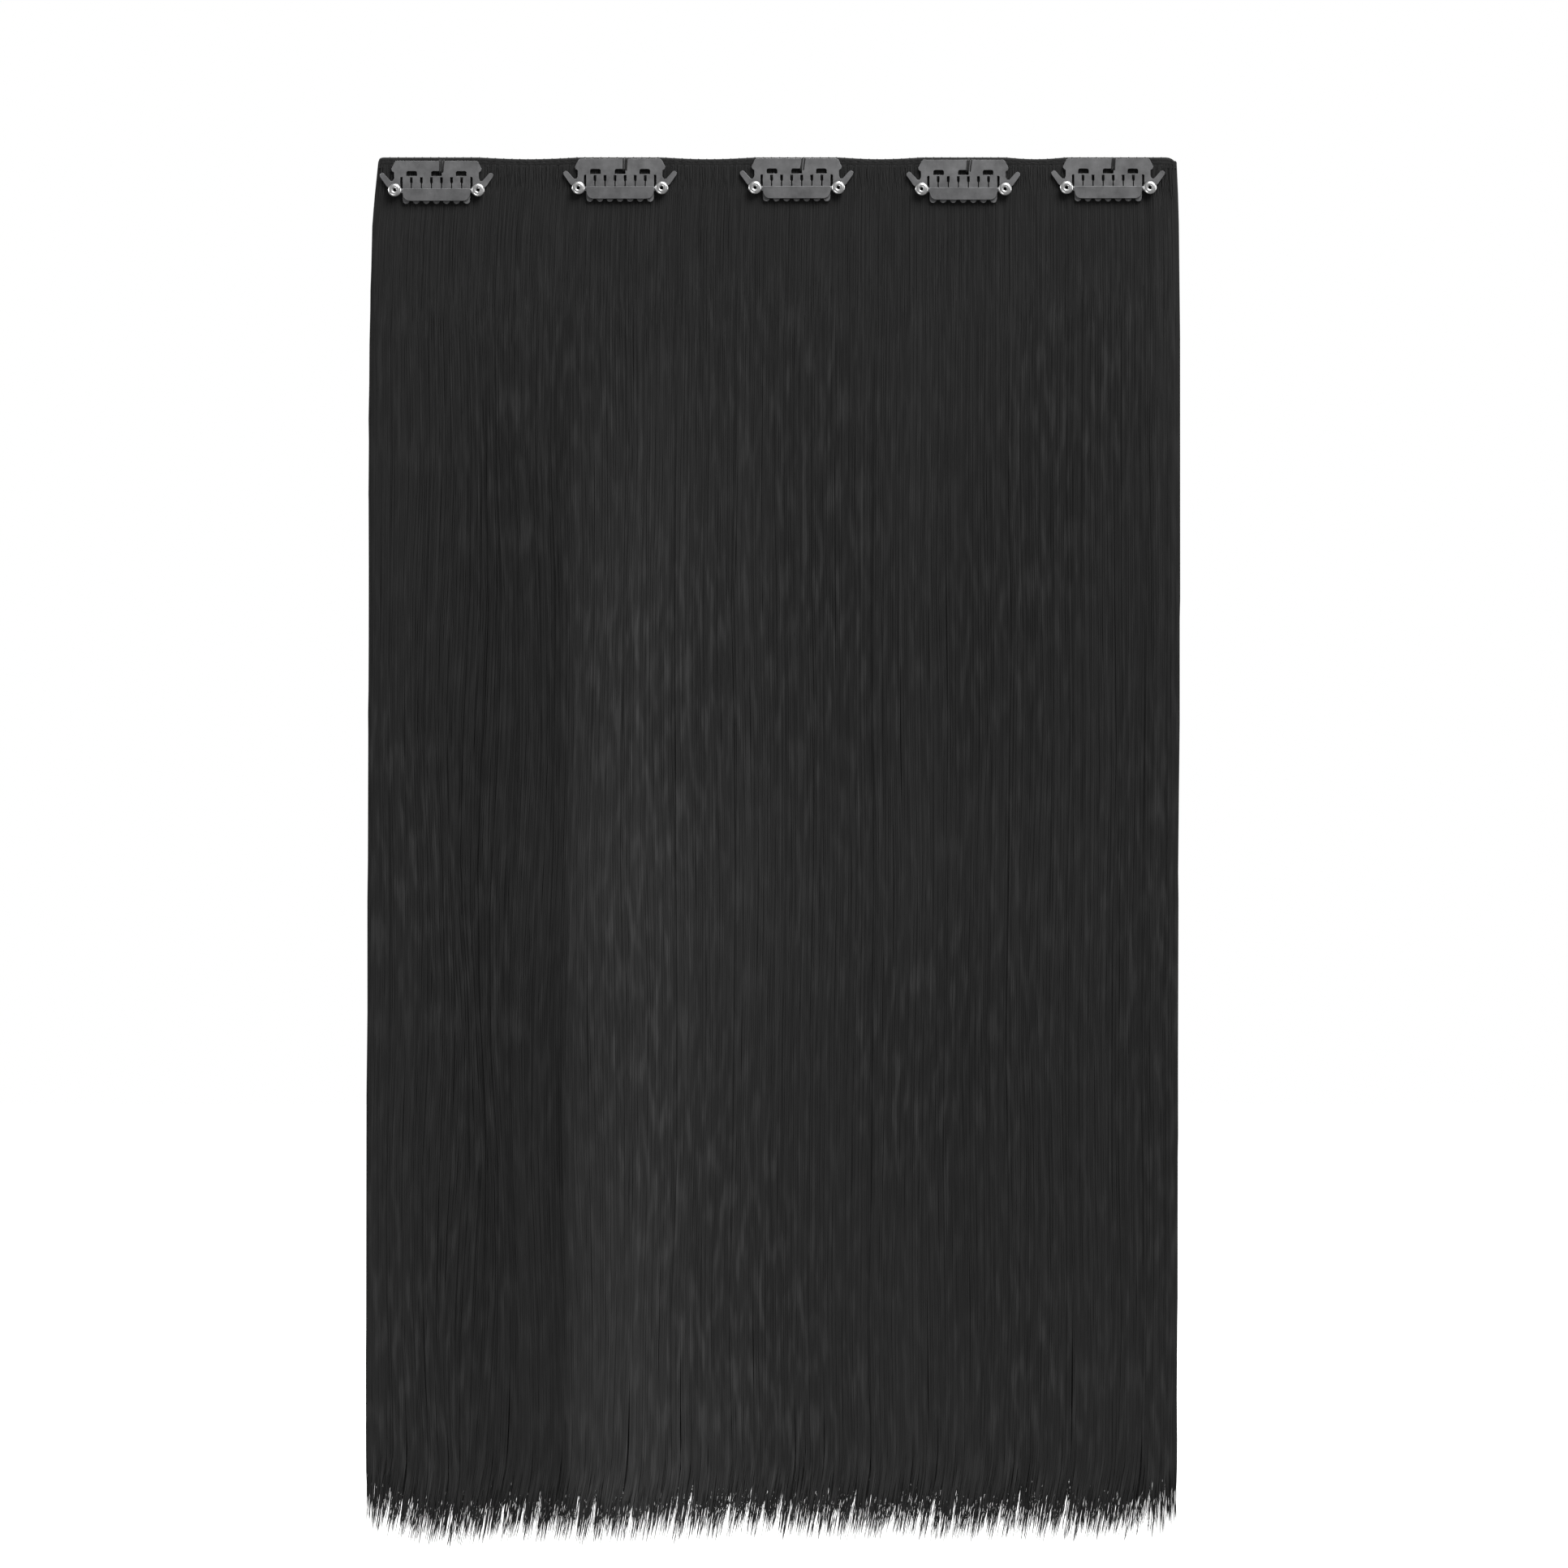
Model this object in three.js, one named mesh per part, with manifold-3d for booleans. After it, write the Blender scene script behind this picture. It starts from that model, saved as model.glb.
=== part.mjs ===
// Clip-in hair extension: a sewn weft band, the hair that hangs from it and five snap clips along the top.
// Millimetres. X runs along the band, Z is up, and the clips face -Y. The middle of the band's top edge is the origin.
import * as THREE from "three";
import { mergeVertices } from "three/addons/utils/BufferGeometryUtils.js";
import Module from "manifold-3d";

const solids = await Module();
solids.setup();

// ---- weft band -------------------------------------------------------------
const BAND_LEFT = -111.6;
const BAND_RIGHT = 114.4;
const BAND_HEIGHT = 3.2;
const BAND_THICK = 2.4;
const BAND_CORNER = [1.2, 3.0]; // rounding of the top corners, left and right
const BAND_DIP = 0.5; // how far the top edge sags between two clips

// ---- hair ------------------------------------------------------------------
const SEAM_GAP = 0.3; // between the band's lower edge and the hair's top
const HAIR_COLUMNS = 36; // divisions across the width
const EDGE_POWER = 5; // how square the long edges are in section
// drop below the top edge, x of the two long edges, depth of the front and the back from the middle plane
const HAIR_ROWS = [
  { drop: BAND_HEIGHT + SEAM_GAP, left: -111.8, right: 114.4, front: 1.2, back: 1.2 },
  { drop: 9, left: -112.4, right: 114.7, front: 1.2, back: 1.6 },
  { drop: 14, left: -113.0, right: 114.9, front: 1.25, back: 2.0 },
  { drop: 24, left: -113.6, right: 115.1, front: 2.1, back: 2.4 },
  { drop: 48, left: -114.2, right: 115.3, front: 2.7, back: 2.7 },
  { drop: 110, left: -114.3, right: 115.3, front: 3.0, back: 3.0 },
  { drop: 180, left: -114.4, right: 115.0, front: 3.0, back: 3.0 },
  { drop: 250, left: -114.8, right: 114.7, front: 2.8, back: 2.8 },
  { drop: 315, left: -115.0, right: 114.6, front: 2.4, back: 2.4 },
  { drop: 355, left: -115.0, right: 114.4, front: 1.9, back: 1.9 },
  { drop: 375, left: -115.0, right: 114.4, front: 1.4, back: 1.4 },
];
const TIP_DEPTH = 0.6; // half thickness of the hair at its tips
// where the tips end: x across the width, drop below the top edge
const TIPS = [
  { x: -115, drop: 383.0 },
  { x: -111, drop: 386.0 },
  { x: -103, drop: 389.0 },
  { x: -90, drop: 390.0 },
  { x: -74, drop: 388.8 },
  { x: -60, drop: 389.6 },
  { x: -46, drop: 390.2 },
  { x: -30, drop: 388.2 },
  { x: -6, drop: 386.8 },
  { x: 8, drop: 387.2 },
  { x: 25, drop: 389.4 },
  { x: 40, drop: 388.0 },
  { x: 52, drop: 390.0 },
  { x: 70, drop: 389.4 },
  { x: 96, drop: 388.8 },
  { x: 105, drop: 386.4 },
  { x: 111, drop: 384.0 },
  { x: 115.4, drop: 381.0 },
];
// broad soft locks: x of the middle, half width, how far the lock stands out in front
const LOCKS = [
  { x: -88, half: 20, rise: 0.35 },
  { x: -64, half: 7, rise: -0.45 },
  { x: -38, half: 19, rise: 0.45 },
  { x: 12, half: 22, rise: 0.2 },
  { x: 52, half: 12, rise: -0.25 },
  { x: 84, half: 18, rise: 0.3 },
];
const LOCKS_FROM = 16; // the locks start below the clips and are full by LOCKS_FULL
const LOCKS_FULL = 70;

// ---- snap clips ------------------------------------------------------------
// x of each clip's middle, drop of its two rivets
const CLIPS = [
  { x: -95.2, drop: 9.4 },
  { x: -43.2, drop: 8.8 },
  { x: 6.8, drop: 8.7 },
  { x: 54.0, drop: 9.1 },
  { x: 95.0, drop: 8.7 },
];
const RIVET_HALF = 11.8; // from the clip's middle to each rivet
const PLATE_BACK = -2.0; // y of the comb plate's back face
const PLATE_THICK = 0.5;
const BAR_TOP = 8.3;
const BAR_HALF = 12.0;
const SLOT_WIDE = 3.0;
const SLOT_HIGH = 1.4;
const SLOT_MID = 4.7;
const SLOT_PITCH = 7.0;
const TEETH = 7;
const TOOTH_PITCH = 2.85;
const TOOTH_ROOT = 2.1; // width of a tooth where it leaves the plate
const TOOTH_WIDE = 2.55; // width of its broad middle
const TOOTH_TIP = 1.9; // width just above its round tip
const TOOTH_END = -3.9;
const GAP_TOP = 3.65; // where the gaps between the teeth begin
const GAP_NECK = 2.2; // where they narrow
const BOSS_RADIUS = 1.7;
const EYE_RADIUS = 1.2;
const BOW_GAP = 0.4; // between the comb plate and the bow
const BOW_THICK = 0.5;
const BOW_HALF = 9.6;
const BOW_TOP = 0.45;
const BOW_BOTTOM = -3.1;
const RIVET_HEAD = 1.9;
const RIVET_COLLAR = 1.6; // the bow's riveted end, held under the head
const RIVET_SHANK = 0.9;
const RIVET_FOOT = 1.5;
const RIVET_BORE = 0.4;

const look = (name, geometry, colour, roughness, metalness = 0) => {
  const mesh = new THREE.Mesh(
    geometry,
    new THREE.MeshStandardMaterial({ color: colour, roughness, metalness }),
  );
  mesh.name = name;
  return mesh;
};

// Value of a table's column at t, eased between its rows.
function along(table, key, value, t) {
  if (t <= table[0][key]) return table[0][value];
  for (let i = 1; i < table.length; i++) {
    const a = table[i - 1];
    const b = table[i];
    if (t <= b[key]) {
      const s = (t - a[key]) / (b[key] - a[key]);
      return a[value] + (b[value] - a[value]) * s * s * (3 - 2 * s);
    }
  }
  return table[table.length - 1][value];
}

// Closed solid through rings of equal length, from the lowest up: walls between the rings and a strip across each end.
function loft(rings) {
  const n = rings[0].length;
  const points = rings.flat(2);
  const index = [];
  rings.slice(1).forEach((_, r) => {
    for (let i = 0; i < n; i++) {
      const a = r * n + i;
      const b = r * n + ((i + 1) % n);
      index.push(a, b, b + n, a, b + n, a + n);
    }
  });
  const cap = (base, flip) => {
    for (let i = 0; i < n / 2; i++) {
      const a = base + i;
      const b = base + i + 1;
      const c = base + ((n - i - 1) % n);
      const d = base + ((n - i) % n);
      const faces = [[a, c, b]];
      if (i > 0) faces.push([a, d, c]);
      faces
        .filter(([p, q, s]) => p !== q && q !== s && p !== s)
        .forEach(([p, q, s]) => index.push(...(flip ? [p, s, q] : [p, q, s])));
    }
  };
  cap(0, false);
  cap((rings.length - 1) * n, true);
  const g = new THREE.BufferGeometry();
  g.setAttribute("position", new THREE.Float32BufferAttribute(points, 3));
  g.setIndex(index);
  g.computeVertexNormals();
  return g;
}

// Plate drawn in X and Z and given its thickness along Y, from front y0 to back y0 + depth.
function plate(shape, y0, depth, curveSegments = 6) {
  const g = new THREE.ExtrudeGeometry(shape, { depth, bevelEnabled: false, curveSegments });
  g.rotateX(Math.PI / 2); // drawn x, y, thickness become x, z and -y
  g.translate(0, y0 + depth, 0);
  return g;
}

function weftBand() {
  const s = new THREE.Shape();
  const [rl, rr] = BAND_CORNER;
  s.moveTo(BAND_LEFT, -BAND_HEIGHT);
  s.lineTo(BAND_RIGHT, -BAND_HEIGHT);
  s.lineTo(BAND_RIGHT, -rr);
  s.quadraticCurveTo(BAND_RIGHT, -BAND_DIP / 3, BAND_RIGHT - rr, -BAND_DIP / 3);
  for (let k = CLIPS.length - 1; k >= 0; k--) {
    const { x } = CLIPS[k];
    s.lineTo(Math.min(x + BAR_HALF, BAND_RIGHT - rr - 1), 0);
    s.lineTo(Math.max(x - BAR_HALF, BAND_LEFT + rl + 1), 0);
    if (k > 0) {
      const from = x - BAR_HALF;
      const to = CLIPS[k - 1].x + BAR_HALF;
      for (let i = 1; i < 6; i++) {
        const t = i / 6;
        s.lineTo(from + (to - from) * t, -BAND_DIP * Math.sin(Math.PI * t));
      }
    }
  }
  s.lineTo(BAND_LEFT + rl, -BAND_DIP / 3);
  s.quadraticCurveTo(BAND_LEFT, -BAND_DIP / 3, BAND_LEFT, -rl);
  s.closePath();
  return plate(s, -BAND_THICK / 2, BAND_THICK, 5);
}

function hairCurtain() {
  const rings = [];
  const last = HAIR_ROWS[HAIR_ROWS.length - 1];
  const rows = [...HAIR_ROWS, { ...last, tip: true, front: TIP_DEPTH, back: TIP_DEPTH }];
  for (const row of rows) {
    const front = [];
    const back = [];
    const fold = THREE.MathUtils.smoothstep(row.drop, LOCKS_FROM, LOCKS_FULL);
    for (let i = 0; i <= HAIR_COLUMNS; i++) {
      // Columns crowd towards the long edges, where the section is round.
      const s = Math.sin(((i / HAIR_COLUMNS) * 2 - 1) * (Math.PI / 2) * 0.9) / Math.sin((Math.PI / 2) * 0.9);
      const x = (row.left + row.right) / 2 + (s * (row.right - row.left)) / 2;
      const z = -(row.tip ? along(TIPS, "x", "drop", x) : row.drop);
      const round = Math.pow(Math.max(0, 1 - Math.pow(Math.abs(s), EDGE_POWER * 4)), 1 / 2);
      const rise = LOCKS.reduce((sum, k) => sum + k.rise * Math.exp(-(((x - k.x) / k.half) ** 2)), 0);
      const lift = fold * rise * (row.front / 3);
      front.push([x, -(row.front + lift) * round, z]);
      if (i > 0 && i < HAIR_COLUMNS) back.unshift([x, (row.back - lift * 0.6) * round, z]);
    }
    rings.push([...front, ...back]);
  }
  return loft(rings.reverse()); // from the tips up
}

function combShape() {
  const s = new THREE.Shape();
  const leg = 10.25; // inner side of a leg
  // Right half from the top bar down, round the ear and the rivet eye.
  const side = [
    [BAR_HALF - 0.6, BAR_TOP],
    [BAR_HALF - 0.1, BAR_TOP - 0.5],
    [BAR_HALF + 0.8, 6.0],
    [BAR_HALF + 0.6, 5.4],
    [BAR_HALF, 5.0],
    [BAR_HALF, 3.3],
    [BAR_HALF + 0.4, 2.6],
    [BAR_HALF + 1.0, 2.6],
    [BAR_HALF + 2.9, 4.75],
    [BAR_HALF + 3.5, 4.9],
    [BAR_HALF + 4.1, 4.4],
    [BAR_HALF + 4.0, 3.8],
    [BAR_HALF + 2.1, 1.1],
  ];
  for (let i = 0; i <= 8; i++) {
    const a = THREE.MathUtils.degToRad(20 - i * 24);
    side.push([RIVET_HALF + BOSS_RADIUS * Math.cos(a), BOSS_RADIUS * Math.sin(a)]);
  }
  side.push([leg, 0.6], [leg, 3.5], [leg - 0.2, 3.75]);
  const left = side.map(([u, w]) => [-u, w]).reverse();
  // Teeth from right to left, each down one flank, round the tip and up the other.
  const teeth = [];
  for (let k = 0; k < TEETH; k++) {
    const mid = ((TEETH - 1) / 2 - k) * TOOTH_PITCH;
    const tip = TOOTH_TIP / 2;
    // A flank from the gap's top down: straight beside a leg, broader below the neck of a gap.
    const flank = (beside) =>
      beside
        ? [[TOOTH_ROOT / 2, GAP_TOP + 0.1], [TOOTH_ROOT / 2, -1.6]]
        : [[TOOTH_ROOT / 2, GAP_TOP], [TOOTH_ROOT / 2, GAP_NECK], [TOOTH_WIDE / 2, GAP_NECK - 0.35], [TOOTH_WIDE / 2, -1.6]];
    flank(k === 0).forEach(([u, w]) => teeth.push([mid + u, w]));
    for (let i = 0; i <= 6; i++) {
      const a = (i / 6) * Math.PI;
      teeth.push([mid + tip * Math.cos(a), TOOTH_END + tip - tip * Math.sin(a)]);
    }
    flank(k === TEETH - 1).reverse().forEach(([u, w]) => teeth.push([mid - u, w]));
  }
  [...side, ...teeth, ...left].forEach(([u, w], i) => (i ? s.lineTo(u, w) : s.moveTo(u, w)));
  s.closePath();
  return s;
}

// Sewing slot: square at the bottom, rounded at the top.
function slotShape(u) {
  const s = new THREE.Shape();
  const l = u - SLOT_WIDE / 2;
  const r = u + SLOT_WIDE / 2;
  const b = SLOT_MID - SLOT_HIGH / 2;
  const t = SLOT_MID + SLOT_HIGH / 2;
  s.moveTo(l, b);
  s.lineTo(r, b);
  s.lineTo(r, t - 0.6);
  s.quadraticCurveTo(r, t, r - 0.6, t);
  s.lineTo(l + 0.6, t);
  s.quadraticCurveTo(l, t, l, t - 0.6);
  s.closePath();
  return s;
}

function eyeShape(u) {
  const s = new THREE.Shape();
  s.absarc(u, 0, EYE_RADIUS, 0, 2 * Math.PI, false);
  return s;
}

const toSolid = (g) => {
  const bare = new THREE.BufferGeometry();
  bare.setAttribute("position", g.getAttribute("position"));
  bare.setIndex(g.index);
  const m = mergeVertices(bare, 1e-4);
  return new solids.Manifold(
    new solids.Mesh({
      numProp: 3,
      vertProperties: m.attributes.position.array,
      triVerts: new Uint32Array(m.index.array),
    }),
  );
};

const toGeometry = (solid) => {
  const m = solid.getMesh();
  const g = new THREE.BufferGeometry();
  g.setAttribute("position", new THREE.Float32BufferAttribute(m.vertProperties, 3));
  g.setIndex(new THREE.BufferAttribute(m.triVerts, 1));
  g.computeVertexNormals();
  return g;
};

// Comb plate with its slots and rivet eyes cut through.
function combPlate() {
  const front = PLATE_BACK - PLATE_THICK;
  let body = toSolid(plate(combShape(), front, PLATE_THICK));
  const cuts = [
    ...[-1, 0, 1].map((k) => slotShape(k * SLOT_PITCH)),
    ...[-1, 1].map((k) => eyeShape(k * RIVET_HALF)),
  ];
  for (const c of cuts) body = body.subtract(toSolid(plate(c, front - 1, PLATE_THICK + 2, 4)));
  return toGeometry(body);
}

function bowShape() {
  const s = new THREE.Shape();
  s.moveTo(-BOW_HALF, BOW_TOP);
  s.lineTo(BOW_HALF, BOW_TOP);
  s.lineTo(BOW_HALF, -0.9);
  s.quadraticCurveTo(BOW_HALF - 0.2, BOW_BOTTOM, BOW_HALF - 2.2, BOW_BOTTOM);
  s.lineTo(-BOW_HALF + 2.2, BOW_BOTTOM);
  s.quadraticCurveTo(-BOW_HALF + 0.2, BOW_BOTTOM, -BOW_HALF, -0.9);
  s.closePath();
  return s;
}

// Hollow rivet turned about its own axis: foot, shank, the bow's riveted end and a rolled head round the open bore.
function rivet() {
  const profile = [
    [RIVET_BORE, 0],
    [RIVET_FOOT, 0],
    [RIVET_FOOT, 0.25],
    [RIVET_SHANK, 0.25],
    [RIVET_SHANK, 1.3],
    [RIVET_COLLAR, 1.3],
    [RIVET_COLLAR, 1.85],
    [RIVET_HEAD, 1.85],
    [RIVET_HEAD, 2.1],
    [RIVET_HEAD * 0.85, 2.45],
    [RIVET_HEAD * 0.55, 2.6],
    [RIVET_BORE + 0.15, 2.5],
    [RIVET_BORE, 2.2],
    [RIVET_BORE, 0],
  ].map(([r, h]) => new THREE.Vector2(r, h));
  const g = new THREE.LatheGeometry(profile, 12);
  g.rotateX(Math.PI); // turned about Y, so that the head faces -Y
  return g;
}

const part = new THREE.Group();
part.name = "hair_extension";
part.add(look("weft_band", weftBand(), 0x1d1d1d, 0.8));
part.add(look("hair_curtain", hairCurtain(), 0x161616, 0.5));

const comb = combPlate();
const bow = bowShape();
CLIPS.forEach(({ x, drop }, i) => {
  const name = `clip_${i + 1}`;
  const front = PLATE_BACK - PLATE_THICK;
  part.add(look(`${name}_comb`, comb.clone().translate(x, 0, -drop), 0x6b6b6b, 0.45, 0.8));
  part.add(
    look(`${name}_bow`, plate(bow, front - BOW_GAP - BOW_THICK, BOW_THICK).translate(x, 0, -drop), 0x777777, 0.42, 0.8),
  );
  for (const [side, k] of [["left", -1], ["right", 1]])
    part.add(
      look(`${name}_rivet_${side}`, rivet().translate(x + k * RIVET_HALF, PLATE_BACK + 0.5, -drop), 0xc4c4c4, 0.3, 0.9),
    );
});

export default part;
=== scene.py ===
import math

import bpy
import numpy as np
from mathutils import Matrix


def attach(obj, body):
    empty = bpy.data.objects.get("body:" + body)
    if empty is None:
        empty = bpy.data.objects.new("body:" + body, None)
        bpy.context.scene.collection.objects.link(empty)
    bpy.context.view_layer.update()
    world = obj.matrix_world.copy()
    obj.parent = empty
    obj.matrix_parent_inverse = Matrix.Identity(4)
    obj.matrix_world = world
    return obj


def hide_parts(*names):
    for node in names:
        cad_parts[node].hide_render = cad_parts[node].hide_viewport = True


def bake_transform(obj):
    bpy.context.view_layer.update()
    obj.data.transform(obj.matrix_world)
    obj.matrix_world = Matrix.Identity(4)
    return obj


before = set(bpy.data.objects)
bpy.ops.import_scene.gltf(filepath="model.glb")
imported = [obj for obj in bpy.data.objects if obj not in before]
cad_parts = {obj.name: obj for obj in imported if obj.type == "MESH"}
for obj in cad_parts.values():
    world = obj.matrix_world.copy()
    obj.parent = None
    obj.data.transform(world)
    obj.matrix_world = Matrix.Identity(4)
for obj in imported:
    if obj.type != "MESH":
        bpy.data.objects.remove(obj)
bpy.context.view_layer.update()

MM = 0.001
ROUND = 0.35  # of a hair's section, from 0 (flat sides) to 1

# ---- sizes, in millimetres, the same as the CAD ---------------------------------------------------------------
BAND_LEFT, BAND_RIGHT, BAND_HEIGHT, BAND_THICK, BAND_DIP = -111.6, 114.4, 3.2, 2.4, 0.5
# drop below the top edge, x of the two long edges, depth of the front and the back from the middle plane
HAIR_ROWS = np.array([
    # drop   left    right  front back
    [0.0, -111.6, 114.4, 0.95, 0.95],
    [3.5, -111.8, 114.4, 1.15, 1.15],
    [9.0, -112.4, 114.7, 1.2, 1.6],
    [14.0, -113.0, 114.9, 1.25, 2.0],
    [24.0, -113.6, 115.1, 2.1, 2.4],
    [48.0, -114.2, 115.3, 2.7, 2.7],
    [110.0, -114.3, 115.3, 3.0, 3.0],
    [180.0, -114.4, 115.0, 3.0, 3.0],
    [250.0, -114.8, 114.7, 2.8, 2.8],
    [315.0, -115.0, 114.6, 2.4, 2.4],
    [355.0, -115.0, 114.4, 1.9, 1.9],
    [375.0, -115.0, 114.4, 1.4, 1.4],
    [392.0, -115.0, 114.4, 0.6, 0.6],
])
# where the longest tips end: x across the width, drop below the top edge
TIPS = np.array([
    [-115, 384.0], [-111, 386.0], [-103, 390.0], [-90, 392.2], [-74, 390.1], [-60, 390.6], [-46, 391.0],
    [-30, 390.4], [-16, 390.6], [-6, 388.8], [8, 389.3], [25, 390.2], [40, 389.1], [52, 390.7], [70, 389.8], [96, 389.7],
    [105, 389.4], [111, 388.2], [115.4, 386.0],
])
# notches between the locks' tips: x, and how far each reaches up from the tips' lower edge
NOTCHES = np.array([
    [-104.4, 7], [-101.7, 10], [-90.2, 7], [-75.2, 7], [-69.5, 9], [-65.6, 11], [-54.1, 7], [-49.9, 11], [-38.9, 5],
    [-26.5, 10], [-22.8, 13], [-11.5, 7], [-5.8, 8], [-1.2, 8], [3.0, 11], [14.0, 6], [19.8, 8], [23.7, 10], [35.4, 5],
    [43.2, 8], [46.5, 10], [57.5, 4], [62.1, 5], [66.0, 9], [70.4, 12], [80.5, 6], [84.0, 12], [105.8, 5],
])
# how far the hair sways from side to side: x, half the sway
SWAY = np.array([[-115, 0.15], [-105, 0.9], [-86, 1.8], [-62, 1.2], [-35, 0.75], [10, 0.55], [60, 0.55], [100, 0.45], [114, 0.15]])
# painted sheen and shade of the locks, in front and behind: lighter where a lock turns towards the light, darker in the
# shaded crease near x -60: x, lightness
PAINTED_SHEEN_AND_CREASE_SHADE = np.array([[-115, 0.0], [-66, -0.05], [-60.5, -0.09], [-57.5, 0.055], [-38, 0.105], [-14, 0.05], [14, 0.0], [60, -0.02], [100, -0.02], [115, -0.06]])
BACK_PAINTED_SHEEN = np.array([[-115, -0.04], [-72, 0.03], [-25, -0.01], [28, 0.05], [72, 0.0], [115, -0.05]])
# broad soft locks: x of the middle, half width, how far the lock stands out in front
LOCKS = np.array([[-88, 20, 0.35], [-64, 7, -0.45], [-38, 19, 0.45], [12, 22, 0.2], [52, 12, -0.25], [84, 18, 0.3]])
LOCKS_FROM, LOCKS_FULL = 16.0, 70.0
# x of each clip's middle, drop of its two rivets
CLIPS = [(-95.2, 9.4), (-43.2, 8.8), (6.8, 8.7), (54.0, 9.1), (95.0, 8.7)]
RIVET_HALF = 11.8
PLATE_BACK, PLATE_FRONT = -2.0, -2.5
BAR_HALF, BAR_TOP = 12.0, 8.3


# ---- helpers ---------------------------------------------------------------------------------------------------
def smoothstep(x, a, b):
    t = np.clip((np.asarray(x, float) - a) / (b - a), 0, 1)
    return t * t * (3 - 2 * t)


def row(drop, column):
    return np.interp(drop, HAIR_ROWS[:, 0], HAIR_ROWS[:, column])


def lock_rise(x):
    x = np.asarray(x, float)
    return sum(r * np.exp(-(((x - c) / h) ** 2)) for c, h, r in LOCKS)


def depth(x, u, drop, front):
    """How far the hair's face lies from the middle plane, in front (True) or behind."""
    lift = smoothstep(drop, LOCKS_FROM, LOCKS_FULL) * lock_rise(x) * row(drop, 3) / 3
    flat = row(drop, 3) + lift if front else row(drop, 4) - 0.6 * lift
    return flat * np.sqrt(np.clip(1 - np.abs(u) ** 20, 0, 1))


def mesh_object(name, points, polygons, material, body="extension", slot=None, smooth=True, uv=None, tone=None, normals=None):
    """points (n, 3) in millimetres; polygons is a list of (k, 3) or (k, 4) index arrays; uv and tone go by point and
    normals by polygon corner."""
    mesh = bpy.data.meshes.new(name)
    points = np.asarray(points, np.float64) * MM
    mesh.vertices.add(len(points))
    mesh.vertices.foreach_set("co", points.astype(np.float32).ravel())
    loops = np.concatenate([p.ravel() for p in polygons]).astype(np.int32)
    sizes = np.concatenate([np.full(len(p), p.shape[1], np.int32) for p in polygons])
    starts = np.concatenate([[0], np.cumsum(sizes)[:-1]]).astype(np.int32)
    mesh.loops.add(len(loops))
    mesh.loops.foreach_set("vertex_index", loops)
    mesh.polygons.add(len(sizes))
    mesh.polygons.foreach_set("loop_start", starts)
    mesh.update(calc_edges=True)
    mesh.validate()
    if uv is not None:
        corner = np.empty(len(mesh.loops), np.int32)
        mesh.loops.foreach_get("vertex_index", corner)
        mesh.uv_layers.new(name="OFBake").uv.foreach_set("vector", np.asarray(uv, np.float32)[corner].ravel())
    if tone is not None:
        mesh.attributes.new("tone", "FLOAT", "POINT").data.foreach_set("value", np.asarray(tone, np.float32))
    if smooth:
        mesh.polygons.foreach_set("use_smooth", np.ones(len(mesh.polygons), bool))
    if normals is not None:
        mesh.normals_split_custom_set(np.asarray(normals, np.float32))
    mesh.materials.append(material)
    obj = bpy.data.objects.new(name, mesh)
    bpy.context.scene.collection.objects.link(obj)
    if body:
        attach(obj, body)
    return obj


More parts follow.
